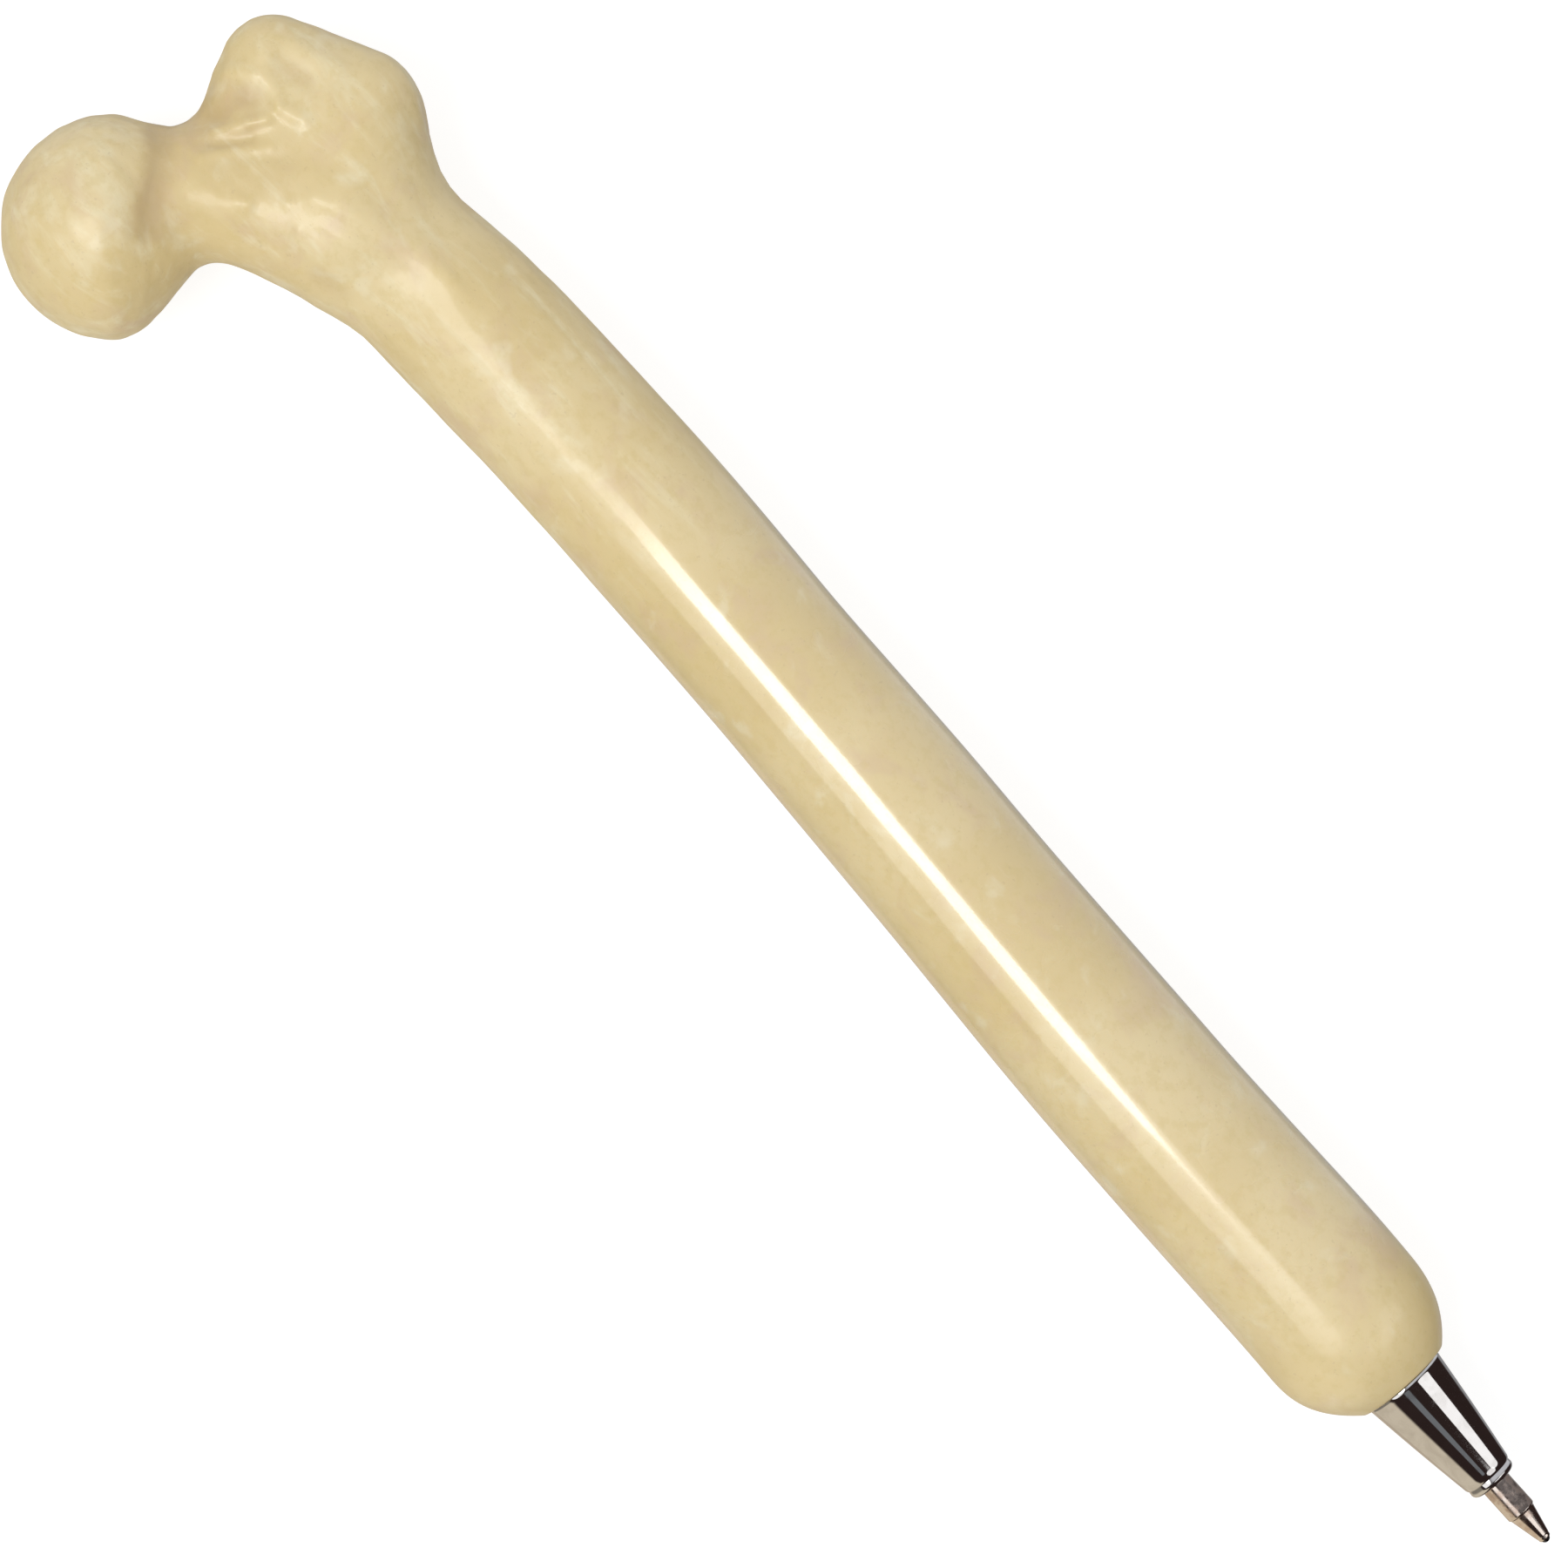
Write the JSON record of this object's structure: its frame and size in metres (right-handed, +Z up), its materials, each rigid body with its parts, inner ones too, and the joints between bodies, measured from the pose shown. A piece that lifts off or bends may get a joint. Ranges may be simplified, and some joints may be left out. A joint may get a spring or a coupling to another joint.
{
  "type": "ballpoint pen",
  "caption": "Ballpoint pen with a cast resin barrel in the shape of a thigh bone, a chrome nose cone that unscrews, and a fixed-tip refill.",
  "frame": {"origin": "middle of the pen's outline on the surface it lies on, with the pen lying on its back", "axes": "+X along the bore towards the writing ball, +Y towards the greater trochanter, away from the bone's head, +Z up, out of the front of the bone"},
  "size_m": [0.1564, 0.033, 0.0171],
  "materials": {
    "cast_resin": "gloss",
    "white_plastic": "satin",
    "brass": "satin",
    "chrome": "polished",
    "clear_plastic": "gloss",
    "ink": "satin",
    "nickel_silver": "polished",
    "carbide": "satin"
  },
  "bodies": {
    "barrel": {"bone_barrel": "cast_resin", "liner_tube": "white_plastic", "thread_bush": "brass"},
    "refill": {"refill_tube": "clear_plastic", "refill_ink": "ink", "refill_tip": "nickel_silver"},
    "cone": {"nose_cone": "chrome"},
    "ball": {"tip_ball": "carbide"}
  },
  "joints": [
    {"name": "refill_slide", "type": "slide", "parent": "barrel", "child": "refill", "axis": [1, 0, 0], "range_m": [0, 0.0045]},
    {"name": "cone_turn", "type": "hinge", "parent": "refill", "child": "cone", "pos_m": [0.06155, 0.00596, 0.00732], "axis": [1, 0, 0], "range_deg": [0, 2160.1]},
    {"name": "ball_roll", "type": "hinge", "parent": "refill", "child": "ball", "pos_m": [0.07785, 0.00596, 0.00732], "axis": [0, 1, 0], "continuous": true}
  ],
  "couplings": [
    {"joint": "cone_turn", "follows": "refill_slide", "rad_per_m": 8377.6}
  ]
}
